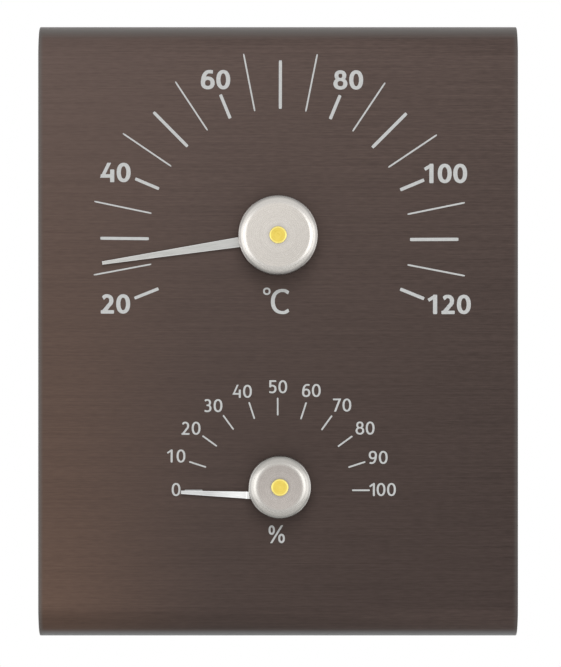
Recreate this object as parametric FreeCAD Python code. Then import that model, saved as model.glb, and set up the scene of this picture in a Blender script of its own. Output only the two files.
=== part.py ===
# Sauna thermo-hygrometer: one bent plate that carries two spiral-coil movements
# Lengths are in millimetres and angles in degrees. +Z is up and the dials face -Y.
# The origin is on the wall plane, at the centre of the hanging hole.
import FreeCAD, Part
import math
import os

V = FreeCAD.Vector

# Bent front plate
plate_width = 137.0
plate_height = 175.1
plate_depth = 22.0
sheet_thickness = 1.2
front_bend_radius = 9.0
back_bend_radius = 4.0
lip_height = 22.6
sheared_edge_radius = 0.35
edge_match_share = 0.1

# Keyhole in the upper lip
hanging_hole_radius = 4.5
hanging_hole_below_top = 16.1
hanging_slot_width = 4.8
hanging_slot_rise = 7.5

# Places of the two posts, from the middle of the plate
thermometer_above_middle = 27.35
hygrometer_below_middle = 44.3
hygrometer_right_of_middle = 0.5

# Turned post, the same for both movements
shank_radius = 1.5
shank_end_chamfer = 0.3
shank_past_nut = 0.6
journal_radius = 2.0
flange_radius = 3.0
flange_thickness = 0.6
spindle_radius = 1.8
pin_bore_depth = 3.6

# Washers and nut
thrust_washer_radius = 3.4
thrust_washer_thickness = 0.4
back_washer_radius = 3.5
back_washer_thickness = 0.5
nut_across_flats = 5.5
nut_height = 2.4
nut_chamfer_angle = 30

# Carrier disc with its bent tongue
carrier_thickness = 0.5
tongue_width = 3.0
tongue_bend_inside_radius = 0.3
tongue_height_share = 0.7

# Pointers: the strip starts beside the post, tapers to a square tip and is cranked down to the dial
pointer_thickness = 0.4
crank_bend_radius = 0.3
crank_slope_length = 0.5
crank_angle = 30
thermometer_pointer_reach = 50.8
thermometer_pointer_root_width = 3.2
thermometer_pointer_tip_width = 0.92
thermometer_pointer_offset = 0.2
thermometer_pointer_drop_angle = 8.7
thermometer_crank_place = 9.6
hygrometer_pointer_reach = 28.1
hygrometer_pointer_root_width = 2.35
hygrometer_pointer_tip_width = 0.93
hygrometer_pointer_offset = 2.85
hygrometer_pointer_drop_angle = -2.5
hygrometer_crank_place = 8.6

# Rivets that hold a pointer on its carrier
rivet_radius = 0.4
rivet_head_radius = 0.6
rivet_head_height = 0.35
rivet_spacing = 1.6
rivet_root_margin = 0.75

# Slotted collar and spiral coil
collar_radius = 2.8
collar_rim = 0.2
coil_bend_radius = 0.45
coil_bend_standoff = 0.15
coil_tail_length = 1.3
thermometer_strip_thickness = 0.25
thermometer_strip_width = 4.0
thermometer_coil_turns = 7
hygrometer_strip_thickness = 0.2
hygrometer_strip_width = 3.4
hygrometer_coil_turns = 5
measured_points_per_half_turn = 24

# Spun caps and their headed pins
cap_wall = 0.5
cap_shoulder_radius = 3.0
cap_shoulder_angle = 50
cap_edge_radius = 0.7
thermometer_cap_radius = 11.35
hygrometer_cap_radius = 8.93
pin_head_radius = 2.45
pin_head_height = 0.6
pin_head_edge_radius = 0.25
pin_shank_radius = 1.0

# Clearances
running_clearance = 0.05
end_float = 0.05
hole_clearance = 0.1
seat_clearance = 0.02
pin_end_clearance = 0.4
coil_clearance = 0.5
cap_clearance = 0.7
rim_clearance = 0.45
pointer_root_clearance = 0.3
overrun = 1.0

# Heights above the front of the plate, shared by both movements
carrier_bottom = thrust_washer_thickness + end_float
carrier_top = carrier_bottom + carrier_thickness
journal_top = carrier_top + end_float
flange_top = journal_top + flange_thickness
pointer_top = carrier_top + pointer_thickness
rivet_top = pointer_top + rivet_head_height
coil_bottom = max(flange_top, rivet_top) + coil_clearance
cap_rim = pointer_top + rim_clearance

plate_middle_z = hanging_hole_below_top - plate_height / 2
coil_first_radius = collar_radius + coil_bend_standoff + coil_bend_radius

thermometer = {
    "name": "thermometer",
    "x": 0,
    "z": plate_middle_z + thermometer_above_middle,
    "cap_radius": thermometer_cap_radius,
    "strip_thickness": thermometer_strip_thickness,
    "strip_width": thermometer_strip_width,
    "turns": thermometer_coil_turns,
    "pointer_reach": thermometer_pointer_reach,
    "root_width": thermometer_pointer_root_width,
    "tip_width": thermometer_pointer_tip_width,
    "pointer_offset": thermometer_pointer_offset,
    "drop_angle": thermometer_pointer_drop_angle,
    "crank_place": thermometer_crank_place,
}
hygrometer = {
    "name": "hygrometer",
    "x": hygrometer_right_of_middle,
    "z": plate_middle_z - hygrometer_below_middle,
    "cap_radius": hygrometer_cap_radius,
    "strip_thickness": hygrometer_strip_thickness,
    "strip_width": hygrometer_strip_width,
    "turns": hygrometer_coil_turns,
    "pointer_reach": hygrometer_pointer_reach,
    "root_width": hygrometer_pointer_root_width,
    "tip_width": hygrometer_pointer_tip_width,
    "pointer_offset": hygrometer_pointer_offset,
    "drop_angle": hygrometer_pointer_drop_angle,
    "crank_place": hygrometer_crank_place,
}


def arc(centre, radius, start, end):
    """Edge of a circle in the XY plane, from one angle to another, both in degrees."""
    angles = [math.radians(angle) for angle in (start, (start + end) / 2, end)]
    points = [centre + V(math.cos(a), math.sin(a), 0) * radius for a in angles]
    return Part.Arc(*points).toShape()


def line(start, end):
    return Part.LineSegment(start, end).toShape()


def closed_path(points):
    """Straight-sided face through points in the XY plane."""
    return Part.Face(Part.makePolygon(points + points[:1]))


def turned(outline):
    """Turn a face drawn as radius X and height Y about its height axis."""
    return outline.revolve(V(0, 0, 0), V(0, 1, 0), 360)


def disc(radius, bottom, height):
    """Round plate about the height axis Y."""
    return Part.makeCylinder(radius, height, V(0, bottom, 0), V(0, 1, 0))


def stand_on_plate(shape, gauge):
    """Movements are drawn with height along +Y from the plate; the dials face -Y."""
    shape.rotate(V(0, 0, 0), V(0, 0, 1), 180)
    shape.translate(V(gauge["x"], -plate_depth, gauge["z"]))
    return shape


def aim_pointer(shape, gauge):
    """Turn what lies along the pointer from straight left to its rest angle."""
    shape.rotate(V(0, 0, 0), V(0, 1, 0), gauge["drop_angle"])
    return shape


def turn_away(shape):
    """Half a turn about the post, to the side that the pointer leaves free."""
    shape.rotate(V(0, 0, 0), V(0, 1, 0), 180)
    return shape


# Bent front plate
def bend_corners():
    """Centre, outer radius and start angle of each bend of the section, as drawn in Y and Z."""
    top = plate_middle_z + plate_height / 2
    bottom = plate_middle_z - plate_height / 2
    front = -plate_depth
    return [
        (V(-back_bend_radius, top - back_bend_radius, 0), back_bend_radius, 0),
        (V(front + front_bend_radius, top - front_bend_radius, 0), front_bend_radius, 90),
        (V(front + front_bend_radius, bottom + front_bend_radius, 0), front_bend_radius, 180),
        (V(-back_bend_radius, bottom + back_bend_radius, 0), back_bend_radius, 270),
    ]


def sheet_line(inset):
    """Edges of one skin of the bent sheet, from the upper lip round to the lower lip."""
    top = plate_middle_z + plate_height / 2
    bottom = plate_middle_z - plate_height / 2
    bends = [arc(c, radius - inset, a, a + 90) for c, radius, a in bend_corners()]
    stops = [V(-inset, top - lip_height, 0)]
    for bend in bends:
        stops += [bend.valueAt(bend.FirstParameter), bend.valueAt(bend.LastParameter)]
    stops.append(V(-inset, bottom + lip_height, 0))
    runs = [line(stops[k], stops[k + 1]) for k in range(0, len(stops), 2)]
    return [edge for pair in zip(runs, bends) for edge in pair] + runs[-1:], stops


def sheared_edges(sheet):
    """Edges of the outer skin on both sides of the sheet, which the shear leaves slightly round."""
    outer_skin = Part.Wire(sheet_line(0)[0])
    found = []
    for edge in sheet.Edges:
        middle = edge.valueAt((edge.FirstParameter + edge.LastParameter) / 2)
        inwards = plate_width / 2 - abs(middle.x)
        depth = outer_skin.distToShape(Part.Vertex(middle.y, middle.z, 0))[0]
        if max(inwards, depth) < sheet_thickness * edge_match_share:
            found.append(edge)
    return found


def keyhole():
    """Round entry with a narrower slot that rises from it and ends round."""
    depth = sheet_thickness + 2 * overrun
    start = V(0, -sheet_thickness - overrun, 0)
    forward = V(0, 1, 0)
    half = hanging_slot_width / 2
    entry = Part.makeCylinder(hanging_hole_radius, depth, start, forward)
    end = Part.makeCylinder(half, depth, start + V(0, 0, hanging_slot_rise), forward)
    slot = Part.makeBox(hanging_slot_width, depth, hanging_slot_rise, start - V(half, 0, 0))
    return entry.fuse([end, slot])


def front_plate():
    outer, outer_stops = sheet_line(0)
    inner, inner_stops = sheet_line(sheet_thickness)
    ends = [line(outer_stops[k], inner_stops[k]) for k in (0, -1)]
    section = Part.Face(Part.Wire(Part.__sortEdges__(outer + inner + ends)))
    section.rotate(V(0, 0, 0), V(1, 1, 1), 120)
    section.translate(V(-plate_width / 2, 0, 0))
    sheet = section.extrude(V(plate_width, 0, 0))
    sheet = sheet.makeFillet(sheared_edge_radius, sheared_edges(sheet))
    for gauge in (thermometer, hygrometer):
        radius = shank_radius + hole_clearance
        hole = disc(radius, -sheet_thickness - overrun, sheet_thickness + 2 * overrun)
        sheet = sheet.cut(stand_on_plate(hole, gauge))
    return sheet.cut(keyhole())


# Fixed pieces of a movement
def coil_top(gauge):
    return coil_bottom + gauge["strip_width"]


def cap_seat(gauge):
    """Height of the top of the post, where the cap sits."""
    return coil_top(gauge) + collar_rim + coil_clearance


def post(gauge):
    back = -sheet_thickness - back_washer_thickness - nut_height - shank_past_nut
    seat = cap_seat(gauge)
    bore = pin_shank_radius + seat_clearance
    outline = closed_path([
        V(0, back, 0),
        V(shank_radius - shank_end_chamfer, back, 0),
        V(shank_radius, back + shank_end_chamfer, 0),
        V(shank_radius, 0, 0),
        V(journal_radius, 0, 0),
        V(journal_radius, journal_top, 0),
        V(flange_radius, journal_top, 0),
        V(flange_radius, flange_top, 0),
        V(spindle_radius, flange_top, 0),
        V(spindle_radius, seat, 0),
        V(bore, seat, 0),
        V(bore, seat - pin_bore_depth, 0),
        V(0, seat - pin_bore_depth, 0),
    ])
    return turned(outline)


def thrust_washer(gauge):
    ring = disc(thrust_washer_radius, 0, thrust_washer_thickness)
    return ring.cut(disc(journal_radius + running_clearance, 0, thrust_washer_thickness))


def back_washer(gauge):
    bottom = -sheet_thickness - back_washer_thickness
    ring = disc(back_washer_radius, bottom, back_washer_thickness)
    return ring.cut(disc(shank_radius + hole_clearance, bottom, back_washer_thickness))


def back_nut(gauge):
    """Hexagon nut whose corners are turned off on the outer face."""
    bottom = -sheet_thickness - back_washer_thickness - nut_height
    corner = nut_across_flats / math.sqrt(3)
    turns = [math.radians(60 * k) for k in range(6)]
    hexagon = closed_path([V(corner * math.cos(a), bottom, corner * math.sin(a)) for a in turns])
    drop = (corner - nut_across_flats / 2) * math.tan(math.radians(nut_chamfer_angle))
    envelope = turned(closed_path([
        V(shank_radius + seat_clearance, bottom, 0),
        V(nut_across_flats / 2, bottom, 0),
        V(corner, bottom + drop, 0),
        V(corner, bottom + nut_height, 0),
        V(shank_radius + seat_clearance, bottom + nut_height, 0),
    ]))
    return hexagon.extrude(V(0, nut_height, 0)).common(envelope)


def collar(gauge):
    """Ring on the post's flange, slotted from the top for the strip's inner end."""
    height = coil_top(gauge) + collar_rim - flange_top
    bore = spindle_radius + seat_clearance
    ring = disc(collar_radius, flange_top, height).cut(disc(bore, flange_top, height))
    width = gauge["strip_thickness"] + 2 * seat_clearance
    depth = gauge["strip_width"] + collar_rim
    corner = V(0, coil_bottom, -coil_bend_radius - width / 2)
    slot = Part.makeBox(collar_radius, depth, width, corner)
    return turn_away(ring.cut(slot))


# Spiral coil: half circles about two centres in turn, so that they join without a kink
def coil_last_radius(gauge):
    """Middle of the strip where it lies on the tongue."""
    return gauge["cap_radius"] - cap_wall - cap_clearance - carrier_thickness - gauge["strip_thickness"] / 2


def coil_pitch(gauge):
    return (coil_last_radius(gauge) - coil_first_radius) / gauge["turns"]


def coil_arcs(gauge):
    """Centre X, radius, start and end angle of the small inner bend and of each half turn."""
    pitch = coil_pitch(gauge)
    arcs = [(coil_first_radius - coil_bend_radius, coil_bend_radius, -90, 0)]
    for k in range(2 * gauge["turns"]):
        side = 1 if k % 2 else -1
        radius = coil_first_radius + k * pitch / 2 + pitch / 4
        arcs.append((side * pitch / 4, radius, 180 * k, 180 * k + 180))
    return arcs


def coil_skin(gauge, side):
    """Edges of one face of the strip, and its two ends; side is 1 outside and -1 inside."""
    shift = side * gauge["strip_thickness"] / 2
    start = V(spindle_radius + seat_clearance, -coil_bend_radius - shift, 0)
    bends = [arc(V(x, 0, 0), radius + shift, a, b) for x, radius, a, b in coil_arcs(gauge)]
    first = bends[0].valueAt(bends[0].FirstParameter)
    last = V(coil_last_radius(gauge) + shift, 0, 0)
    end = last + V(0, coil_tail_length, 0)
    return [line(start, first)] + bends + [line(last, end)], start, end


def coil(gauge):
    outside, outside_start, outside_end = coil_skin(gauge, 1)
    inside, inside_start, inside_end = coil_skin(gauge, -1)
    ends = [line(outside_start, inside_start), line(outside_end, inside_end)]
    section = Part.Face(Part.Wire(Part.__sortEdges__(outside + inside + ends)))
    section.rotate(V(0, 0, 0), V(1, 0, 0), 90)
    section.translate(V(0, coil_bottom, 0))
    return turn_away(section.extrude(V(0, gauge["strip_width"], 0)))


def least_coil_gap(gauge):
    """Smallest distance between neighbouring turns, measured on points of the middle line."""
    steps = measured_points_per_half_turn
    points = []
    for x, radius, start, end in coil_arcs(gauge)[1:]:
        for k in range(steps):
            a = math.radians(start + (end - start) * k / steps)
            points.append(V(x + radius * math.cos(a), radius * math.sin(a), 0))
    turn = 2 * steps
    gaps = [
        (p - q).Length
        for k, p in enumerate(points)
        for q in points[k + turn - steps // 2 : k + turn + steps // 2]
    ]
    return min(gaps) - gauge["strip_thickness"]


# Turning pieces of a movement, drawn with the pointer straight left
def pointer_root(gauge):
    """Distance along the pointer at which its root clears the post's flange."""
    beside = max(gauge["pointer_offset"] - gauge["root_width"] / 2, 0)
    keep_out = flange_radius + pointer_root_clearance
    return math.sqrt(max(keep_out**2 - beside**2, 0))


def rivet_places(gauge):
    first = pointer_root(gauge) + rivet_root_margin
    return [V(first + k * rivet_spacing, 0, -gauge["pointer_offset"]) for k in range(2)]


def rivet(place, grow):
    """Domed rivet whose lower end fills a countersink; grow widens it for its hole."""
    shank = rivet_radius + grow
    foot = rivet_head_radius + grow
    outline = closed_path([
        V(0, carrier_bottom, 0),
        V(foot, carrier_bottom, 0),
        V(shank, carrier_bottom + foot - shank, 0),
        V(shank, pointer_top, 0),
        V(0, pointer_top, 0),
    ])
    body = turned(outline)
    body.translate(place)
    return body


def rivet_head(place):
    """Low dome: the part of a ball that stands above the pointer."""
    ball_radius = (rivet_head_radius**2 + rivet_head_height**2) / (2 * rivet_head_height)
    centre = place + V(0, rivet_top - ball_radius, 0)
    ball = Part.makeSphere(ball_radius, centre)
    room = Part.makeCylinder(rivet_head_radius, rivet_head_height, place + V(0, pointer_top, 0), V(0, 1, 0))
    return ball.common(room)


def pointer_rivets(gauge):
    rivets = [rivet(place, 0).fuse(rivet_head(place)).removeSplitter() for place in rivet_places(gauge)]
    return aim_pointer(Part.makeCompound(rivets), gauge)


def tongue(gauge):
    """Strip of the disc's edge, bent up beside the end of the coil, opposite to the pointer."""
    inside = coil_last_radius(gauge) + gauge["strip_thickness"] / 2
    outside = inside + carrier_thickness
    top = coil_bottom + tongue_height_share * gauge["strip_width"]
    inner_bend = tongue_bend_inside_radius
    outer_bend = tongue_bend_inside_radius + carrier_thickness
    centre = V(inside - inner_bend, carrier_top + inner_bend, 0)
    outer_arc = arc(centre, outer_bend, -90, 0)
    inner_arc = arc(centre, inner_bend, 0, -90)
    edges = [
        line(V(0, carrier_bottom, 0), V(centre.x, carrier_bottom, 0)),
        outer_arc,
        line(V(outside, centre.y, 0), V(outside, top, 0)),
        line(V(outside, top, 0), V(inside, top, 0)),
        line(V(inside, top, 0), V(inside, centre.y, 0)),
        inner_arc,
        line(V(centre.x, carrier_top, 0), V(0, carrier_top, 0)),
        line(V(0, carrier_top, 0), V(0, carrier_bottom, 0)),
    ]
    side = Part.Face(Part.Wire(edges))
    side.translate(V(0, 0, -tongue_width / 2))
    return turn_away(side.extrude(V(0, 0, tongue_width)))


def carrier(gauge):
    inside = coil_last_radius(gauge) + gauge["strip_thickness"] / 2
    plate = disc(inside - tongue_bend_inside_radius, carrier_bottom, carrier_thickness)
    plate = plate.fuse(tongue(gauge)).removeSplitter()
    plate = plate.cut(disc(journal_radius + running_clearance, 0, journal_top))
    holes = [rivet(place, seat_clearance) for place in rivet_places(gauge)]
    return plate.cut(aim_pointer(Part.makeCompound(holes), gauge))


def crank_skin(gauge, above):
    """Side view of one face of the strip, X along it; above is the face's height over the underside."""
    steepness = math.radians(crank_angle)
    both_bends = 2 * crank_bend_radius + pointer_thickness
    run = both_bends * math.sin(steepness) + crank_slope_length * math.cos(steepness)
    drop = both_bends * (1 - math.cos(steepness)) + crank_slope_length * math.sin(steepness)
    upper_centre = V(gauge["crank_place"], carrier_top - crank_bend_radius, 0)
    lower_centre = V(gauge["crank_place"] + run, pointer_top - drop + crank_bend_radius, 0)
    bend_down = arc(upper_centre, crank_bend_radius + above, 90, 90 - crank_angle)
    bend_level = arc(lower_centre, crank_bend_radius + pointer_thickness - above, 270 - crank_angle, 270)
    start = V(pointer_root(gauge), carrier_top + above, 0)
    end = V(gauge["pointer_reach"], carrier_top - drop + above, 0)
    slope = line(bend_down.valueAt(bend_down.LastParameter), bend_level.valueAt(bend_level.FirstParameter))
    inner_run = line(start, bend_down.valueAt(bend_down.FirstParameter))
    outer_run = line(bend_level.valueAt(bend_level.LastParameter), end)
    return [inner_run, bend_down, slope, bend_level, outer_run], start, end


def pointer(gauge):
    """Tapered strip with a square tip, a crank and two rivet holes at its root."""
    root = pointer_root(gauge)
    tip = gauge["pointer_reach"]
    half_root = gauge["root_width"] / 2
    half_tip = gauge["tip_width"] / 2
    offset = -gauge["pointer_offset"]
    under, under_start, under_end = crank_skin(gauge, 0)
    over, over_start, over_end = crank_skin(gauge, pointer_thickness)
    ends = [line(under_start, over_start), line(under_end, over_end)]
    side = Part.Face(Part.Wire(Part.__sortEdges__(under + over + ends)))
    side.translate(V(0, 0, offset - half_root))
    taper = closed_path([
        V(root, 0, offset - half_root),
        V(tip, 0, offset - half_tip),
        V(tip, 0, offset + half_tip),
        V(root, 0, offset + half_root),
    ])
    strip = side.extrude(V(0, 0, 2 * half_root)).common(taper.extrude(V(0, pointer_top + overrun, 0)))
    for place in rivet_places(gauge):
        hole = disc(rivet_radius + seat_clearance, carrier_top - overrun, pointer_thickness + 2 * overrun)
        hole.translate(place)
        strip = strip.cut(hole)
    return aim_pointer(strip, gauge)


# Cap and its pin
def cap(gauge):
    """Spun cap of one wall: flat top, wide shoulder, tight edge and straight skirt."""
    inner_top = cap_seat(gauge)
    top = inner_top + cap_wall
    outer = gauge["cap_radius"]
    inner = outer - cap_wall
    turn = 90 - cap_shoulder_angle
    way = V(math.cos(math.radians(turn)), math.sin(math.radians(turn)), 0)
    step = way * (cap_shoulder_radius - cap_edge_radius)
    shoulder = V(outer - cap_edge_radius - step.x, top - cap_shoulder_radius, 0)
    edge = shoulder + step
    hole = pin_shank_radius + hole_clearance
    edges = [
        line(V(hole, top, 0), V(shoulder.x, top, 0)),
        arc(shoulder, cap_shoulder_radius, 90, turn),
        arc(edge, cap_edge_radius, turn, 0),
        line(V(outer, edge.y, 0), V(outer, cap_rim, 0)),
        line(V(outer, cap_rim, 0), V(inner, cap_rim, 0)),
        line(V(inner, cap_rim, 0), V(inner, edge.y, 0)),
        arc(edge, cap_edge_radius - cap_wall, 0, turn),
        arc(shoulder, cap_shoulder_radius - cap_wall, turn, 90),
        line(V(shoulder.x, inner_top, 0), V(hole, inner_top, 0)),
        line(V(hole, inner_top, 0), V(hole, top, 0)),
    ]
    return turned(Part.Face(Part.Wire(edges)))


def cap_pin(gauge):
    """Headed pin pressed into the post through the cap."""
    seat = cap_seat(gauge) + cap_wall
    top = seat + pin_head_height
    edge = pin_head_edge_radius
    end = cap_seat(gauge) - pin_bore_depth + pin_end_clearance
    centre = V(pin_head_radius - edge, top - edge, 0)
    edges = [
        line(V(0, end, 0), V(pin_shank_radius, end, 0)),
        line(V(pin_shank_radius, end, 0), V(pin_shank_radius, seat, 0)),
        line(V(pin_shank_radius, seat, 0), V(pin_head_radius, seat, 0)),
        line(V(pin_head_radius, seat, 0), V(pin_head_radius, centre.y, 0)),
        arc(centre, edge, 0, 90),
        line(V(centre.x, top, 0), V(0, top, 0)),
        line(V(0, top, 0), V(0, end, 0)),
    ]
    return turned(Part.Face(Part.Wire(edges)))


# Write every piece
def write(shape, node):
    solids = shape.Solids
    whole = solids[0] if len(solids) == 1 else Part.makeCompound(solids)
    whole.exportStep("parts/" + node + ".step")
    print(node, "solids", len(solids), "volume", round(whole.Volume, 3), "valid", whole.isValid())


movement_pieces = {
    "post": post,
    "thrust_washer": thrust_washer,
    "carrier": carrier,
    "pointer": pointer,
    "pointer_rivets": pointer_rivets,
    "collar": collar,
    "coil": coil,
    "cap": cap,
    "cap_pin": cap_pin,
    "back_washer": back_washer,
    "back_nut": back_nut,
}

os.makedirs("parts", exist_ok=True)
write(front_plate(), "front_plate")
for gauge in (thermometer, hygrometer):
    print(gauge["name"], "coil: least gap between turns", round(least_coil_gap(gauge), 3))
    for piece, make in movement_pieces.items():
        write(stand_on_plate(make(gauge), gauge), gauge["name"] + "_" + piece)
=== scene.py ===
import bpy
import numpy as np
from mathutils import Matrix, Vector


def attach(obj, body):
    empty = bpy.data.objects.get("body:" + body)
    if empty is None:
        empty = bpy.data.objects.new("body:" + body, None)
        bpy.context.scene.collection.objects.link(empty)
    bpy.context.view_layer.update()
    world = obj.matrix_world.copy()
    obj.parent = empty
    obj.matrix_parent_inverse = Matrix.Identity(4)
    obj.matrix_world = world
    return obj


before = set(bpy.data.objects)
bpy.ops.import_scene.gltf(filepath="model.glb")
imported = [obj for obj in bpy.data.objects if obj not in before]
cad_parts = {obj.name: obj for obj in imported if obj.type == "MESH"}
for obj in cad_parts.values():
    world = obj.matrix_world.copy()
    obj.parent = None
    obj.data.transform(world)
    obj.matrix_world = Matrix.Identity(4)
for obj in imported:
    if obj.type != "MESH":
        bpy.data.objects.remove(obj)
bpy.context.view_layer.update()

mm = 0.001
print("frame loaded:", len(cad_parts), "nodes")

# Each dial's post, across and up in mm. Its pointer slopes by pointerSlope degrees and passes pointerBelow
# under the post. There it would be pointerRoot wide, and it narrows by pointerTaper a mm towards its tip.
dials = {
    "thermometer": {
        "post": (0, -44.1), "pointerSlope": -8.7, "pointerBelow": 0.2,
        "pointerRoot": 3.36, "pointerTaper": 0.0480,
    },
    "hygrometer": {
        "post": (0.5, -115.75), "pointerSlope": 2.5, "pointerBelow": 2.85,
        "pointerRoot": 2.51, "pointerTaper": 0.0562,
    },
}
noiseSpan = (0.3, 0.7)    # most of a noise's values lie between these


class Wire:
    # One output of a node. Sums on it add Math nodes to the same tree.
    def __init__(self, tree, socket):
        self.tree = tree
        self.socket = socket

    def __add__(self, other):
        return self.tree.math("ADD", self, other)

    def __sub__(self, other):
        return self.tree.math("SUBTRACT", self, other)

    def __rsub__(self, other):
        return self.tree.math("SUBTRACT", other, self)

    def __mul__(self, other):
        return self.tree.math("MULTIPLY", self, other)

    def __truediv__(self, other):
        return self.tree.math("DIVIDE", self, other)

    __radd__ = __add__
    __rmul__ = __mul__


class Tree:
    # The nodes of a material or of the world
    def __init__(self, owner):
        owner.use_nodes = True
        self.nodes = owner.node_tree.nodes
        self.links = owner.node_tree.links

    def node(self, kind, settings=(), sockets=(), output=0):
        # settings go in first, then each socket's value or the wire that feeds it
        made = self.nodes.new(kind)
        for name, value in dict(settings).items():
            setattr(made, name, value)
        for name, value in sockets.items() if isinstance(sockets, dict) else enumerate(sockets):
            if isinstance(value, Wire):
                self.links.new(value.socket, made.inputs[name])
            else:
                made.inputs[name].default_value = value
        return Wire(self, made.outputs[output])

    def math(self, operation, *values):
        return self.node("ShaderNodeMath", {"operation": operation}, values)


class Finish(Tree):
    # A surface: fixed values go straight onto the shader, and feeds vary from place to place
    def __init__(self, name, metallic=1.0, roughness=0.35, specular=0.5):
        self.material = bpy.data.materials.new(name)
        super().__init__(self.material)
        self.shader = self.nodes["Principled BSDF"]
        self.shader.inputs["Metallic"].default_value = metallic
        self.shader.inputs["Roughness"].default_value = roughness
        self.shader.inputs["Specular IOR Level"].default_value = specular
        self.object = self.node("ShaderNodeTexCoord", output="Object")

    def feed(self, socket, wire):
        self.links.new(wire.socket, self.shader.inputs[socket])

    def placed(self, centre=(0, 0, 0), turn=0, size=(1, 1, 1)):
        # the pattern's own space: its centre and size in mm, turned about the view axis in degrees
        values = {
            "Vector": self.object,
            "Location": np.multiply(centre, mm),
            "Rotation": (0, np.radians(turn), 0),
            "Scale": np.multiply(size, mm),
        }
        return self.node("ShaderNodeMapping", {"vector_type": "TEXTURE"}, values)

    def part(self, vector, axis):
        return self.node("ShaderNodeSeparateXYZ", (), [vector], output=axis)

    def noise(self, vector, detail=2, roughness=0.5):
        values = {"Vector": vector, "Scale": 1, "Detail": detail, "Roughness": roughness}
        return self.node("ShaderNodeTexNoise", (), values)

    def ringNoise(self, along, detail):
        # noise along one number only, such as the distance from a lathe's axis
        values = {"W": along, "Scale": 1, "Detail": detail}
        return self.node("ShaderNodeTexNoise", {"noise_dimensions": "1D"}, values)

    def fade(self, value, start, end):
        # 0 at start, 1 at end, smooth between
        values = {"Value": value, "From Min": start, "From Max": end}
        return self.node("ShaderNodeMapRange", {"interpolation_type": "SMOOTHSTEP"}, values)

    def tint(self, mask, dark, light):
        # the colour runs from dark at mask 0 to light at mask 1; each may be a colour or a wire.
        # On a Mix node, sockets 6 and 7 are the two colours and output 2 is the mixed one.
        dark, light = (c if isinstance(c, Wire) else (*c, 1) for c in (dark, light))
        return self.node("ShaderNodeMix", {"data_type": "RGBA"}, {0: mask, 6: dark, 7: light}, output=2)

    def mottled(self, noise, dark, light):
        # the colour runs from dark to light with a noise
        return self.tint(self.fade(noise, *noiseSpan), dark, light)

    def scaled(self, colour, share):
        # a colour made lighter or darker by a number
        return self.node("ShaderNodeVectorMath", {"operation": "SCALE"}, {"Vector": colour, "Scale": share})

    def relief(self, height, depth):
        # height 0 to 1 is depth mm tall
        self.feed("Normal", self.node("ShaderNodeBump", (), {"Distance": depth * mm, "Height": height}))


def dress(nodeName, finish):
    # puts a finish on a CAD node, whose mesh stays as it is
    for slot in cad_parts[nodeName].material_slots:
        slot.material = finish.material


# The bent sheet: dark brown anodised aluminium, brushed from side to side. Places on it run from -1 to 1
# across and up, and a pair of them is where something starts and where it is full.
plateLook = {
    "middle": -71.45, "halfWidth": 68.5, "halfHeight": 87.55,
    "metallic": 0.4, "specular": 0.1, "roughness": 0.40, "lineRough": 0.12, "cloudRough": 0.04,
    # painted light: deep at the lower right to pale at the upper left, and warm down the left side
    "deep": (0.0417, 0.0298, 0.0264), "pale": (0.0872, 0.0622, 0.0542), "paintedLightAcross": -0.5, "paintedLightUp": 0.5,
    "paintedWarmLight": (0.1013, 0.0634, 0.0473), "paintedWarmSide": (-0.2, -1.15),
    # painted light: lighter by a share towards the top and in both lower corners
    "upper": (-0.2, 1.05), "upperShare": 0.16,
    "cornerAside": (0.2, 1.1), "cornerDown": (-0.5, -1.05), "cornerShare": 0.10,
    # brushing: how long and wide its marks are in mm, how strong they are, and how much more to the right
    "line": (42, 0.40, 0.40), "hair": (3.2, 0.36, 0.36), "band": (90, 4.5, 4.5), "cloud": (34, 22, 22),
    "lineShare": 0.52, "hairShare": 0.50, "cloudShare": 0.05, "rightShare": 0.3, "relief": 0.004,
    # bends: painted shade on the top one, a hair darker, painted light on the bottom one, lighter to the
    # right, and a painted grey reflection at both ends
    "topRise": (0.90, 0.94), "topShare": -0.02,
    "lowRise": (-0.887, -0.937), "lowShare": 0.10, "lowAcross": 0.30,
    "topGrey": (0.950, 0.986), "topBend": (0.113, 0.104, 0.098),
    "lowGrey": (-0.971, -0.995), "lowBend": (0.158, 0.160, 0.163), "greyShare": 0.9, "greyLine": 0.4,
    # cut side edges: a painted highlight over these mm from the middle, stronger on the left
    "edge": (0.108, 0.101, 0.096), "edgeStart": 66.9, "edgeEnd": 68.5,
    "edgeShare": 0.75, "edgeAcross": -0.17, "edgeLine": 0.5,
}


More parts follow.
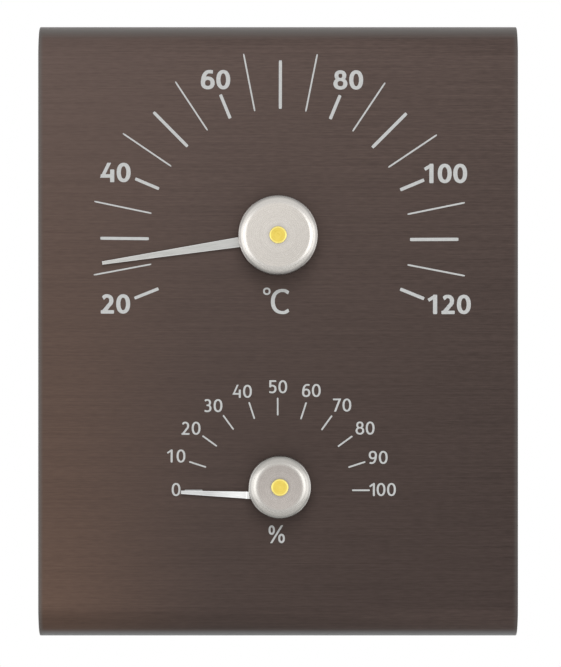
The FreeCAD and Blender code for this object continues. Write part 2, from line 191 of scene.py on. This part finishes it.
def plateFinish(look):
    finish = Finish("brushedBrownPlate", metallic=look["metallic"], specular=look["specular"])
    marks = ("line", "hair", "band", "cloud")
    line, hair, band, cloud = (finish.noise(finish.placed(size=look[mark])) - 0.5 for mark in marks)
    own = finish.placed((0, 0, look["middle"]), size=(look["halfWidth"], 1, look["halfHeight"]))
    across, up = (finish.part(own, axis) for axis in "XZ")
    aside = finish.math("ABSOLUTE", across)
    # painted light: across and up by their shares make a slope from deep 0 to pale 1
    paintedLightSlope = (across * look["paintedLightAcross"] + up * look["paintedLightUp"]) * 0.5 + 0.5
    brown = finish.tint(paintedLightSlope, look["deep"], look["pale"])
    # painted light: warm down the left side, fading upwards
    paintedWarmLight = finish.fade(across, *look["paintedWarmSide"]) * (0.5 - up * 0.5)
    brown = finish.tint(paintedWarmLight, brown, look["paintedWarmLight"])
    # painted light in the lower corners and towards the top
    corner = finish.fade(aside, *look["cornerAside"]) * finish.fade(up, *look["cornerDown"])
    tone = 1 + finish.fade(up, *look["upper"]) * look["upperShare"] + corner * look["cornerShare"]
    brushed = (line * look["lineShare"] + hair * look["hairShare"]) * (1 + across * look["rightShare"])
    brown = finish.scaled(brown, tone * (brushed + (band + cloud) * look["cloudShare"] + 1))
    # bends: painted shade and light
    top = finish.fade(up, *look["topRise"]) * look["topShare"]
    low = finish.fade(up, *look["lowRise"]) * (across * look["lowAcross"] + look["lowShare"])
    brown = finish.scaled(brown, 1 + top + low)
    # painted grey reflection where both bends turn away, streaked along the brushing
    streaks = look["greyShare"] + line * look["greyLine"]
    brown = finish.tint(finish.fade(up, *look["topGrey"]) * streaks, brown, look["topBend"])
    brown = finish.tint(finish.fade(up, *look["lowGrey"]) * streaks, brown, look["lowBend"])
    # cut side edges: painted highlight
    streaks = look["edgeShare"] + across * look["edgeAcross"] + line * look["edgeLine"]
    edgeHighlight = finish.fade(aside * look["halfWidth"], look["edgeStart"], look["edgeEnd"]) * streaks
    finish.feed("Base Color", finish.tint(edgeHighlight, brown, look["edge"]))
    finish.feed("Roughness", look["roughness"] + line * look["lineRough"] + cloud * look["cloudRough"])
    finish.relief(line + 0.5, look["relief"])
    return finish


# Lathe work: rings about the post, counted from the middle out and then down the side, with rings broad
# times as wide and smears over them. Spans are radii in mm where something starts and where it is full,
# but sideSpan is how far to the side, in radii of the face.
latheLook = {
    "broad": 9, "smear": (1.4, 1.4, 1.4), "ringTone": 0.5, "broadTone": 0.2, "smearTone": 0.3,
    "ringRough": 0.10, "smearRough": 0.06,
}
brassLook = {
    **latheLook, "dark": (0.58, 0.42, 0.16), "light": (0.74, 0.56, 0.24),
    "ring": 0.20, "roughness": 0.32, "relief": 0.003,
}
pinLook = {
    **latheLook, "dark": (0.66, 0.50, 0.09), "light": (0.76, 0.60, 0.135),
    # painted highlight round the edge of the head
    "lip": (0.86, 0.74, 0.24), "lipSpan": (1.87, 2.12), "lipShare": 0.8,
    "ring": 0.22, "roughness": 0.30, "relief": 0.0015,
}
capLook = {
    **latheLook, "pinSpan": (2.45, 3.35), "pinShade": 0.85, "sideSpan": (0.6, 1.1), "shoulderShare": 0.86,
    "ring": 0.30, "roughness": 0.27, "relief": 0.0004,
}
# The two caps are the same metal: the lower one's darker colours are painted shade, and their shoulders,
# rims and brinks are painted light and shade.
capLooks = {
    "thermometer": {
        **capLook, "dark": (0.542, 0.509, 0.470), "light": (0.577, 0.543, 0.503),
        "faceRadius": 8.9, "paintedLightAcross": -0.045, "paintedLightUp": 0.045,
        "shoulder": (0.643, 0.616, 0.582), "shoulderSpan": (8.8, 9.3), "shoulderUp": 0.08,
        "rim": (0.300, 0.287, 0.275), "rimSpan": (10.15, 11.0),
        "brink": (0.72, 0.69, 0.66), "brinkSpan": (10.8, 11.2),
    },
    "hygrometer": {
        **capLook, "dark": (0.396, 0.363, 0.338), "light": (0.430, 0.395, 0.368),
        "faceRadius": 6.5, "paintedLightAcross": 0.0, "paintedLightUp": -0.085,
        "shoulder": (0.528, 0.508, 0.478), "shoulderSpan": (5.9, 6.9), "shoulderUp": 0.05,
        "rim": (0.300, 0.292, 0.276), "rimSpan": (7.75, 8.6),
        "brink": (0.74, 0.72, 0.69), "brinkSpan": (8.35, 8.8),
    },
}


def lathePlace(finish, post):
    # the distance from the post's axis, and the three places about it, in mm
    own = finish.placed(centre=(post[0], 0, post[1]))
    across, deep, up = (finish.part(own, axis) for axis in "XYZ")
    return finish.math("SQRT", across * across + up * up), across, deep, up


def capMetal(finish, metal, look, radius, across, up):
    # A cap has painted shade round its pin and painted light that varies slowly over its face. Its shoulder
    # has a painted highlight, brighter to the sides and upwards, its rim has painted shade, and its brink
    # has a painted highlight at the sides. Across and up are 1 at the face's edge.
    sideways = finish.fade(finish.math("ABSOLUTE", across), *look["sideSpan"])
    shade = look["pinShade"]
    # painted shade round the pin
    metal = finish.scaled(metal, shade + finish.fade(radius, *look["pinSpan"]) * (1 - shade))
    # painted light over the face, paler one way
    metal = finish.scaled(metal, 1 + across * look["paintedLightAcross"] + up * look["paintedLightUp"])
    # painted highlight on the shoulder and painted shade on the rim, both lighter upwards
    lean = 1 + up * look["shoulderUp"]
    aside = look["shoulderShare"] + sideways * (1 - look["shoulderShare"])
    shoulder = finish.scaled(look["shoulder"], aside * lean)
    metal = finish.tint(finish.fade(radius, *look["shoulderSpan"]), metal, shoulder)
    rim = finish.scaled(look["rim"], lean)
    metal = finish.tint(finish.fade(radius, *look["rimSpan"]), metal, rim)
    # painted highlight on the brink at the sides
    return finish.tint(finish.fade(radius, *look["brinkSpan"]) * sideways, metal, look["brink"])


def turnedFinish(name, look, post):
    finish = Finish(name)
    radius, across, deep, up = lathePlace(finish, post)
    rings = finish.ringNoise((radius + deep) / look["ring"], detail=3)
    broad = finish.ringNoise((radius + deep) / (look["ring"] * look["broad"]), detail=1)
    smear = finish.noise(finish.placed(size=look["smear"]), detail=3)
    tone = rings * look["ringTone"] + broad * look["broadTone"] + smear * look["smearTone"]
    metal = finish.mottled(tone, look["dark"], look["light"])
    if "lip" in look:    # a painted highlight round the edge of a pin's head
        metal = finish.tint(finish.fade(radius, *look["lipSpan"]) * look["lipShare"], metal, look["lip"])
    if "shoulder" in look:
        metal = capMetal(finish, metal, look, radius, across / look["faceRadius"], up / look["faceRadius"])
    finish.feed("Base Color", metal)
    rough = (rings - 0.5) * look["ringRough"] + (smear - 0.5) * look["smearRough"]
    finish.feed("Roughness", look["roughness"] + rough)
    finish.relief(rings, look["relief"])
    return finish


# Threads on a shank, outside a radius and between two depths
threadLook = {
    "pitch": 0.5, "depth": 0.16,
    "shankSpan": (1.15, 1.20), "startSpan": (-21.0, -20.9), "endSpan": (-17.5, -17.4),
}


def threadedFinish(name, look, thread, post):
    # a ridge that climbs one pitch each turn: its height follows the depth over the pitch plus the turn
    finish = turnedFinish(name, look, post)
    radius, across, deep, up = lathePlace(finish, post)
    turn = finish.math("ARCTAN2", across, up) / (2 * np.pi)
    ridge = finish.math("PINGPONG", deep / thread["pitch"] + turn, 0.5) * 2
    inRange = finish.fade(deep, *thread["startSpan"]) * (1 - finish.fade(deep, *thread["endSpan"]))
    # it takes the place of the rings' relief
    finish.relief(ridge * finish.fade(radius, *thread["shankSpan"]) * inRange, thread["depth"])
    return finish


# Pointers: stamped strips with a grain along them and pressed edges, smoother and with a painted highlight,
# and painted shade from the crank inwards.
# Spans are places along the strip in mm from the post, below 0 towards the tip.
pointerLook = {
    "grain": (3.5, 0.9, 0.16), "edgeWidth": 0.22,
    "roughness": 0.30, "grainRough": 0.14, "edgeRough": -0.08, "relief": 0.0015,
}
pointerLooks = {
    "thermometer": {
        **pointerLook, "flat": (0.43, 0.43, 0.415), "pale": (0.483, 0.478, 0.463),
        "edge": (0.68, 0.68, 0.665), "tip": 1.0, "tipSpan": (-22, -13),
        "bend": (0.38, 0.38, 0.365), "bendSpan": (-10.85, -10.6),
    },
    "hygrometer": {
        **pointerLook, "flat": (0.72, 0.72, 0.715), "pale": (0.82, 0.82, 0.815),
        "edge": (0.80, 0.80, 0.80), "tip": 0.72, "tipSpan": (-20.5, -12.5),
        "bend": (0.46, 0.46, 0.45), "bendSpan": (-9.35, -9.1),
    },
}


def pointerFinish(name, look, dial):
    finish = Finish(name)
    post = (dial["post"][0], 0, dial["post"][1])
    grain = finish.noise(finish.placed(post, dial["pointerSlope"], look["grain"]), detail=3)
    own = finish.placed(post, dial["pointerSlope"])
    along = finish.part(own, "X")
    aside = finish.math("ABSOLUTE", finish.part(own, "Z") + dial["pointerBelow"])
    half = (dial["pointerRoot"] + along * dial["pointerTaper"]) / 2
    # the edges: smoother, with a painted highlight
    smoothEdgeAndHighlight = finish.fade(aside - half, -look["edgeWidth"], 0)
    metal = finish.mottled(grain, look["flat"], look["pale"])
    metal = finish.scaled(metal, look["tip"] + finish.fade(along, *look["tipSpan"]) * (1 - look["tip"]))
    metal = finish.tint(smoothEdgeAndHighlight, metal, look["edge"])
    # painted shade over the crank and inwards of it
    metal = finish.tint(finish.fade(along, *look["bendSpan"]), metal, look["bend"])
    finish.feed("Base Color", metal)
    rough = (grain - 0.5) * look["grainRough"] + smoothEdgeAndHighlight * look["edgeRough"]
    finish.feed("Roughness", look["roughness"] + rough)
    finish.relief(grain, look["relief"])
    return finish


# Sheet and strip metals: a rolled grain and dull patches
rolledLook = {
    "patch": (3.2, 3.2, 3.2), "grainTone": 0.6, "patchTone": 0.4, "grainRough": 0.06, "patchRough": 0.16,
}
rolledLooks = {
    "stampedCarrier": {
        "dark": (0.44, 0.44, 0.44), "light": (0.56, 0.56, 0.56),
        "grain": (2.5, 0.6, 0.14), "roughness": 0.34, "relief": 0.002,
    },
    "headedRivet": {
        "dark": (0.50, 0.50, 0.50), "light": (0.62, 0.62, 0.62),
        "grain": (0.35, 0.35, 0.35), "roughness": 0.32, "relief": 0.004,
    },
    "brassWasher": {
        "dark": (0.56, 0.40, 0.15), "light": (0.70, 0.53, 0.23),
        "grain": (1.6, 0.5, 0.2), "roughness": 0.36, "relief": 0.002,
    },
    "zincWasher": {
        "dark": (0.42, 0.43, 0.45), "light": (0.56, 0.56, 0.55),
        "grain": (0.5, 0.5, 0.5), "roughness": 0.30, "relief": 0.003,
    },
    "brassNut": {
        "dark": (0.55, 0.40, 0.15), "light": (0.72, 0.55, 0.24),
        "grain": (0.8, 0.12, 0.8), "roughness": 0.33, "relief": 0.004,
    },
    "bimetalStrip": {
        "dark": (0.30, 0.27, 0.23), "light": (0.42, 0.385, 0.33),
        "grain": (0.9, 0.10, 0.9), "roughness": 0.34, "relief": 0.002,
    },
    "moistureStrip": {
        "dark": (0.22, 0.18, 0.12), "light": (0.34, 0.28, 0.19),
        "grain": (0.9, 0.14, 0.9), "roughness": 0.46, "relief": 0.003,
    },
}


def rolledFinish(name, look):
    finish = Finish(name)
    grain = finish.noise(finish.placed(size=look["grain"]), detail=4, roughness=0.6)
    patch = finish.noise(finish.placed(size=look["patch"]))
    tone = grain * look["grainTone"] + patch * look["patchTone"]
    finish.feed("Base Color", finish.mottled(tone, look["dark"], look["light"]))
    rough = (patch - 0.5) * look["patchRough"] + (grain - 0.5) * look["grainRough"]
    finish.feed("Roughness", look["roughness"] + rough)
    finish.relief(grain, look["relief"])
    return finish


dress("front_plate", plateFinish(plateLook))
rolled = {name: rolledFinish(name, {**rolledLook, **look}) for name, look in rolledLooks.items()}
for dialName, dial in dials.items():
    post = dial["post"]
    dress(dialName + "_cap", turnedFinish(dialName + "Cap", capLooks[dialName], post))
    dress(dialName + "_cap_pin", turnedFinish(dialName + "CapPin", pinLook, post))
    dress(dialName + "_post", threadedFinish(dialName + "Post", brassLook, threadLook, post))
    dress(dialName + "_collar", turnedFinish(dialName + "Collar", brassLook, post))
    dress(dialName + "_pointer", pointerFinish(dialName + "Pointer", pointerLooks[dialName], dial))
    dress(dialName + "_carrier", rolled["stampedCarrier"])
    dress(dialName + "_pointer_rivets", rolled["headedRivet"])
    dress(dialName + "_thrust_washer", rolled["brassWasher"])
    dress(dialName + "_back_washer", rolled["zincWasher"])
    dress(dialName + "_back_nut", rolled["brassNut"])
dress("thermometer_coil", rolled["bimetalStrip"])
dress("hygrometer_coil", rolled["moistureStrip"])
print("metals dressed")

# Printed ink: a thin light grey layer. In mm: the plate's face, how far the ink is sunk in it and stands
# proud of it, what sets neighbouring strokes' tops apart, what lifts figures, and the radius of corners.
inkLook = {
    "face": -22.0, "sunk": 0.01, "proud": 0.03, "stagger": 0.003, "figureLift": 0.009, "corner": 0.08,
    "dark": (0.409, 0.413, 0.409), "light": (0.465, 0.470, 0.465), "mottle": (0.5, 0.5, 0.5),
    "roughness": 0.55, "mottleRough": 0.2, "relief": 0.003,
}


def inkFinish(look):
    finish = Finish("paleDialInk", metallic=0.0)
    mottle = finish.noise(finish.placed(size=look["mottle"]), detail=3, roughness=0.6)
    finish.feed("Base Color", finish.mottled(mottle, look["dark"], look["light"]))
    finish.feed("Roughness", look["roughness"] + (mottle - 0.5) * look["mottleRough"])
    finish.relief(mottle, look["relief"])
    return finish


# A stroke's line is cubic curves between the points of its rows. At a point the line runs "across", "up" or
# straight "on", and each handle goes that way by a share of the step to the next point. A "bar" and a
# "slant" are straight strokes.
bow = 0.62
handles = {"across": (bow, 0), "up": (0, bow), "on": (1 / 3, 1 / 3)}
sections = {"bar": 7, "curve": 13, "tick": 9}    # in each curve of a line
tenths = 10    # figures are drawn in tenths of their height


def strokeLine(places, ways, count):
    # places (n, 2) to points and unit directions. Each curve is (1 - t) cubed of its first point, three
    # times (1 - t) squared by t of its near handle, three times (1 - t) by t squared of its far handle and
    # t cubed of its last point. The direction is its slope, and t is half of one less a cosine.
    hold = np.array([handles.get(way, handles["on"]) for way in ways])
    gap = np.diff(places, axis=0)
    t = (0.5 - 0.5 * np.cos(np.linspace(0, np.pi, count)))[None, :, None]
    first, last = places[:-1, None], places[1:, None]
    near, far = first + (gap * hold[:-1])[:, None], last - (gap * hold[1:])[:, None]
    line = (1 - t) ** 3 * first + 3 * (1 - t) ** 2 * t * near + 3 * (1 - t) * t ** 2 * far + t ** 3 * last
    run = (1 - t) ** 2 * (near - first) + 2 * (1 - t) * t * (far - near) + t ** 2 * (last - far)
    line, run = (np.concatenate([grid[0], *grid[1:, 1:]]) for grid in (line, run))
    return line, run / np.linalg.norm(run, axis=1)[:, None], t[0, :, 0]


def softEnds(line, half, corner):
    # half widths that draw in over the last bit of an open line by a quarter circle: less the radius, and
    # more the root of the radius squared less the way into the corner squared
    steps = np.linalg.norm(np.diff(line, axis=0), axis=1)
    gone = np.concatenate([[0], np.cumsum(steps)])
    inner = corner - np.minimum(corner, np.minimum(gone, gone[-1] - gone))
    return half - (corner - np.sqrt(np.maximum(0, corner ** 2 - inner ** 2)))


def figureStroke(stroke, cell, style):
    # one stroke of a figure, in tenths of its height. Its thickness is the root of the squares of side by
    # the normal's part across and cap by its part up, times the share of each point.
    inset = np.array([style["side"], style["cap"]]) / 2
    room = np.array([cell[1], tenths]) - 2 * inset
    places = inset + np.array([row[:2] for row in stroke], float) * room
    ways = [row[2] for row in stroke]
    step = places[-1] - places[0]
    if ways[0] == "bar":    # square ends that reach the cell's sides
        places = places + np.outer([-1, 1], inset * step / np.linalg.norm(step))
    if ways[0] == "slant":    # level ends on the base line or the top
        places = places + np.outer([-1, 1], step / abs(step[1]) * inset[1])
    straight = ways[0] in ("bar", "slant")
    line, run, t = strokeLine(places, ways, sections["bar" if straight else "curve"])
    normal = np.stack([-run[:, 1], run[:, 0]], 1)
    weights = np.array([row[3] for row in stroke], float)
    weight = weights[:-1, None] + np.diff(weights)[:, None] * t
    weight = np.concatenate([weight[0], *weight[1:, 1:]])
    half = np.hypot(style["side"] * normal[:, 0], style["cap"] * normal[:, 1]) * weight / 2
    if ways[0] == "slant":
        return line, np.stack([half / normal[:, 0], 0 * half], 1)
    if not np.allclose(line[0], line[-1]):
        half = softEnds(line, half, inkLook["corner"] / style["height"] * tenths)
    return line, normal * half[:, None]


def layInk(name, strokes, finish, lift=0.0):
    # each stroke is a flat bar: line (n, 2) with its half width to either side, four corners a section,
    # and a hair of height between neighbours so that no two tops share a plane
    points, faces, start = [], [], 0
    back = inkLook["face"] + inkLook["sunk"]
    for index, (line, across) in enumerate(strokes):
        closed = np.allclose(line[0], line[-1])
        line, across = (line[:-1], across[:-1]) if closed else (line, across)
        count = len(line)
        front = inkLook["face"] - inkLook["proud"] - lift - index % 3 * inkLook["stagger"]
        flat = np.stack([line + across, line - across, line - across, line + across], 1)
        deep = np.broadcast_to([front, front, back, back], (count, 4))
        points.append(np.stack([flat[..., 0], deep, flat[..., 1]], 2).reshape(-1, 3))
        here = start + np.arange(count * 4).reshape(count, 4)
        there = np.roll(here, -1, 0)
        if not closed:
            faces.append(np.array([here[0, ::-1], here[-1]]))
            here, there = here[:-1], there[:-1]
        faces.append(np.stack([here, np.roll(here, -1, 1), np.roll(there, -1, 1), there], 2).reshape(-1, 4))
        start += count * 4
    mesh = bpy.data.meshes.new(name)
    mesh.from_pydata((np.concatenate(points) * mm).tolist(), [], np.concatenate(faces).tolist())
    mesh.materials.append(finish.material)
    piece = bpy.data.objects.new(name, mesh)
    bpy.context.scene.collection.objects.link(piece)
    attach(piece, "plate")


# Ticks: angles rise clockwise from level left, and each kind has its outer radius and width, in mm.
# They point to "centre" and end on circles about "ends". Those on the left are thinner, by twice "lean".
thermometerTicks = {
    "centre": (0.516, -45.422), "ends": (0.375, -45.22), "first": -21.795, "step": 11.1963, "count": 21,
    "inner": 37.29, "kinds": [(44.65, 0.945), (53.95, 0.475), (51.10, 0.935), (53.95, 0.475)], "lean": 0.045,
}
hygrometerTicks = {
    "centre": (-0.080, -116.845), "ends": (-0.24, -116.84), "first": -0.141, "step": 18.012, "count": 11,
    "inner": 21.36, "kinds": [(26.42, 0.475)], "lean": 0.045,
}


def tickStrokes(scale):
    # each tick goes from its inner to its outer radius along minus the cosine and the sine of its angle
    strokes = []
    for k in range(scale["count"]):
        outer, width = scale["kinds"][k % len(scale["kinds"])]
        angle = np.radians(scale["first"] + k * scale["step"])
        out = np.array([-np.cos(angle), np.sin(angle)])
        width = width * (1 + scale["lean"] * (out[0] - 1))
        shift = np.subtract(scale["ends"], scale["centre"]) @ out
        places = np.array(scale["centre"]) + np.outer(np.add([scale["inner"], outer], shift), out)
        line, run, _ = strokeLine(places, ["on", "on"], sections["tick"])
        half = softEnds(line, np.full(len(line), width / 2), inkLook["corner"])
        strokes.append((line, np.stack([-run[:, 1], run[:, 0]], 1) * half[:, None]))
    return strokes


# Figures: how far across and up a stroke's middle line is, which way it runs, and its share of thickness
ring = [(1, .5, "up", 1), (.5, 1, "across", 1), (0, .5, "up", 1), (.5, 0, "across", 1), (1, .5, "up", 1)]
figures = {
    "0": [ring],
    "1": [[(1, 0, "bar", 1), (1, 1, "bar", 1)],
          [(-.24, .755, "on", .9), (1, 1.015, "on", .9)]],
    "2": [[(0, .86, "on", 1), (.44, 1, "across", 1), (.93, .72, "up", 1), (.55, .33, "on", 1),
           (.05, -.01, "on", 1)],
          [(0, 0, "bar", 1), (1, 0, "bar", 1)]],
    "3": [[(0, .93, "on", 1), (.42, 1, "across", 1), (.92, .77, "up", 1), (.5, .53, "across", .9),
           (.3, .53, "on", .9)],
          [(.3, .53, "on", .9), (.5, .53, "across", .9), (1, .26, "up", 1), (.45, 0, "across", 1),
           (-.05, .06, "on", 1)]],
    "4": [[(.6, 1, "slant", .84), (0, .28, "slant", .84)],
          [(0, .28, "bar", 1), (1, .28, "bar", 1)],
          [(1, .58, "bar", 1), (1, 0, "bar", 1)]],
    "5": [[(.95, 1, "bar", 1), (.13, 1, "bar", 1)],
          [(.13, 1, "bar", 1), (.1, .52, "bar", 1)],
          [(.1, .56, "on", 1), (.42, .6, "across", 1), (1, .31, "up", 1), (.42, 0, "across", 1),
           (-.07, .05, "on", 1)]],
    "6": [[(1, .29, "up", 1), (.5, 0, "across", 1), (0, .29, "up", 1), (.5, .59, "across", 1),
           (1, .29, "up", 1)],
          [(0, .29, "up", 1), (.64, 1, "across", 1), (1.03, .985, "on", 1)]],
    "7": [[(0, 1, "bar", 1), (1, 1, "bar", 1)],
          [(.98, 1, "slant", 1), (.25, 0, "slant", 1)]],
    "8": [[(.9, .77, "up", .95), (.5, 1, "across", 1), (.1, .77, "up", .95), (.5, .53, "across", .85),
           (.9, .77, "up", .95)],
          [(1, .27, "up", 1), (.5, .53, "across", .85), (0, .27, "up", 1), (.5, 0, "across", 1),
           (1, .27, "up", 1)]],
    "C": [[(.808, .894, "on", 1), (.5, 1, "across", 1), (0, .5, "up", 1), (.5, 0, "across", 1),
           (.808, .106, "on", 1)]],
    "o": [ring],
    "%": [[(.308, .7625, "up", 1), (.154, 1, "across", 1), (0, .7625, "up", 1), (.154, .525, "across", 1),
           (.308, .7625, "up", 1)],
          [(1, .234, "up", 1), (.839, .469, "across", 1), (.678, .234, "up", 1), (.839, 0, "across", 1),
           (1, .234, "up", 1)],
          [(.161, 0, "slant", .95), (.832, 1, "slant", .95)]],
}
# a nine is a six turned round
figures["9"] = [
    [(1 - across, 1 - up, way, share) for across, up, way, share in stroke] for stroke in figures["6"]
]

# Each style: its height in mm, and in tenths of it the thickness of side and cap strokes, the pitch from
# figure to figure, and each figure's left gap and width
boldStyle = {
    "height": 5.54, "side": 2.16, "cap": 1.77, "pitch": 7.947,
    "cells": {
        "0": (.435, 7.18), "8": (.23, 7.23), "6": (.435, 7.13),
        "4": (.127, 7.03), "2": (.435, 6.82), "1": (1.214, 4.98),
    },
}
lightStyle = {
    "height": 3.72, "side": 1.57, "cap": 1.30, "pitch": 7.99,
    "cells": {
        "0": (.655, 6.73), "1": (1.433, 4.19), "2": (.811, 6.16), "3": (1.122, 5.85), "4": (.707, 6.21),
        "5": (1.122, 6.06), "6": (1.122, 6.32), "7": (1.278, 6.16), "8": (.811, 6.63), "9": (.883, 6.26),
    },
}
celsiusStyle = {"height": 7.20, "side": 1.56, "cap": 1.23, "pitch": 0, "cells": {"C": (0, 9.35)}}
degreeStyle = {"height": 2.12, "side": 2.38, "cap": 2.38, "pitch": 0, "cells": {"o": (0, 10)}}
percentStyle = {"height": 5.07, "side": 1.13, "cap": 1.13, "pitch": 0, "cells": {"%": (0, 9.21)}}

# Each word: its middle across and up in mm, and for the last one how far its first figure is tucked in
thermometerWords = [
    ("20", -46.43, -63.63), ("40", -46.38, -26.11), ("60", -17.86, 0.39),
    ("80", 20.03, 0.30), ("100", 47.79, -26.39), ("120", 48.84, -63.78),
]
hygrometerWords = [
    ("0", -29.13, -116.63), ("10", -29.07, -107.06), ("20", -24.87, -99.13), ("30", -18.55, -92.67),
    ("40", -10.23, -88.59), ("50", -0.06, -87.28), ("60", 9.50, -88.36), ("70", 18.26, -92.52),
    ("80", 24.82, -99.08), ("90", 28.57, -107.45), ("100", 29.84, -116.63, 1.66),
]


def wordStrokes(words, style):
    # a word's cells stand a pitch apart, and its middle goes to its place
    strokes = []
    unit = style["height"] / tenths
    for word, x, z, *tuck in words:
        cells = [style["cells"][figure] for figure in word]
        lefts = [k * style["pitch"] + cell[0] for k, cell in enumerate(cells)]
        lefts[0] += sum(tuck)
        middle = (lefts[0] + lefts[-1] + cells[-1][1]) / 2
        for figure, cell, left in zip(word, cells, lefts):
            for stroke in figures[figure]:
                line, across = figureStroke(stroke, cell, style)
                strokes.append(((line + [left - middle, -tenths / 2]) * unit + [x, z], across * unit))
    return strokes


dialInk = inkFinish(inkLook)
layInk("thermometer_ticks", tickStrokes(thermometerTicks), dialInk)
layInk("hygrometer_ticks", tickStrokes(hygrometerTicks), dialInk)
layInk("thermometer_figures", wordStrokes(thermometerWords, boldStyle), dialInk, inkLook["figureLift"])
layInk("hygrometer_figures", wordStrokes(hygrometerWords, lightStyle), dialInk, inkLook["figureLift"])
celsius = wordStrokes([("C", 1.30, -62.96)], celsiusStyle) + wordStrokes([("o", -3.22, -60.03)], degreeStyle)
layInk("celsius_sign", celsius, dialInk)
layInk("percent_sign", wordStrokes([("%", -0.41, -129.39)], percentStyle), dialInk)
print("dials printed")

# Studio: pale round floor below, white all round, soft lamps; places in metres. The top and back boxes
# aren't seen in gloss, so they light what is matt and put no highlight on the metals.
floorLook = {
    "height": -0.45, "radius": 0.9, "rings": 12, "spokes": 96,
    "colour": (0.88, 0.88, 0.87), "shade": 0.98, "patch": (60, 60, 60), "roughness": 0.7,
}
lamps = {
    "leftBox": {"place": (-0.46, -0.93, -0.07), "size": (0.50, 0.55), "watts": 1.0, "inGloss": True},
    "leftWing": {"place": (-0.66, -0.30, -0.12), "size": (0.55, 0.60), "watts": 0.66, "inGloss": True},
    "rightBox": {"place": (0.39, -0.95, -0.06), "size": (0.48, 0.47), "watts": 0.95, "inGloss": True},
    "rightWing": {"place": (0.66, -0.30, -0.10), "size": (0.55, 0.60), "watts": 0.70, "inGloss": True},
    "topBox": {"place": (0.0, -1.20, 0.88), "size": (0.95, 0.95), "watts": 19.5, "inGloss": False},
    "backBox": {"place": (0.0, 1.20, 0.88), "size": (0.95, 0.95), "watts": 19.5, "inGloss": False},
}
aim = (0.0, -0.022, -0.07)    # what all lamps face
diffuseLevel = 0.15    # of the white all round, as light on what is matt


def paleFloor(look):
    # a disc: rings of points from the middle out, radius times the cosine and sine of each spoke's angle
    radius = np.linspace(0, look["radius"], look["rings"] + 1)[1:, None]
    angle = np.linspace(0, 2 * np.pi, look["spokes"], endpoint=False)[None]
    level = np.full((look["rings"], look["spokes"]), look["height"])
    grid = np.stack([radius * np.cos(angle), radius * np.sin(angle), level], 2)
    points = np.concatenate([grid.reshape(-1, 3), [[0, 0, look["height"]]]])
    index = np.arange(look["rings"] * look["spokes"]).reshape(look["rings"], look["spokes"])
    inner, outer = index[:-1], index[1:]
    quads = np.stack([inner, outer, np.roll(outer, -1, 1), np.roll(inner, -1, 1)], 2).reshape(-1, 4)
    hub = np.stack([np.full(look["spokes"], len(points) - 1), index[0], np.roll(index[0], -1)], 1)
    mesh = bpy.data.meshes.new("paleFloor")
    mesh.from_pydata(points.tolist(), [], quads.tolist() + hub.tolist())
    finish = Finish("paleFloor", metallic=0.0, roughness=look["roughness"])
    soft = finish.noise(finish.placed(size=look["patch"]))
    finish.feed("Base Color", finish.tint(soft, np.multiply(look["colour"], look["shade"]), look["colour"]))
    mesh.materials.append(finish.material)
    floor = bpy.data.objects.new("paleFloor", mesh)
    bpy.context.scene.collection.objects.link(floor)


def addLamp(name, look):
    lamp = bpy.data.lights.new(name, "AREA")
    lamp.shape = "RECTANGLE"
    lamp.size, lamp.size_y = look["size"]
    lamp.energy = look["watts"]
    holder = bpy.data.objects.new(name, lamp)
    holder.location = look["place"]
    holder.rotation_euler = (Vector(aim) - Vector(look["place"])).to_track_quat("-Z", "Y").to_euler()
    holder.visible_camera = False
    holder.visible_glossy = look["inGloss"]
    bpy.context.scene.collection.objects.link(holder)


def whiteWorld(level):
    # strength 1 where it is seen, straight or in metal, and level where it lights what is matt
    world = bpy.data.worlds.new("whiteWorld")
    bpy.context.scene.world = world
    tree = Tree(world)
    kinds = ("Is Camera Ray", "Is Glossy Ray", "Is Transmission Ray")
    rays = [tree.node("ShaderNodeLightPath", output=kind) for kind in kinds]
    seen = tree.math("MAXIMUM", tree.math("MAXIMUM", rays[0], rays[1]), rays[2])
    background = tree.nodes["Background"]
    background.inputs["Color"].default_value = (1, 1, 1, 1)
    tree.links.new((level + seen * (1 - level)).socket, background.inputs["Strength"])


paleFloor(floorLook)
for lampName, lampLook in lamps.items():
    addLamp(lampName, lampLook)
whiteWorld(diffuseLevel)
bpy.context.scene.view_settings.view_transform = "Standard"

# Camera: square on to the plate. In mm: where it stands, how far from the plate's face, and how tall the
# frame is there.
view = {"x": 0.685, "z": -72.085, "distance": 1080, "face": -22, "frameHeight": 190.42}
camera = bpy.data.objects.new("camera", bpy.data.cameras.new("camera"))
camera.data.sensor_fit = "VERTICAL"
camera.data.lens = camera.data.sensor_height * view["distance"] / view["frameHeight"]
camera.location = np.multiply((view["x"], view["face"] - view["distance"], view["z"]), mm)
camera.rotation_euler = (np.radians(90), 0, 0)
bpy.context.scene.collection.objects.link(camera)
bpy.context.scene.camera = camera
print("studio set")

bpy.context.view_layer.update()
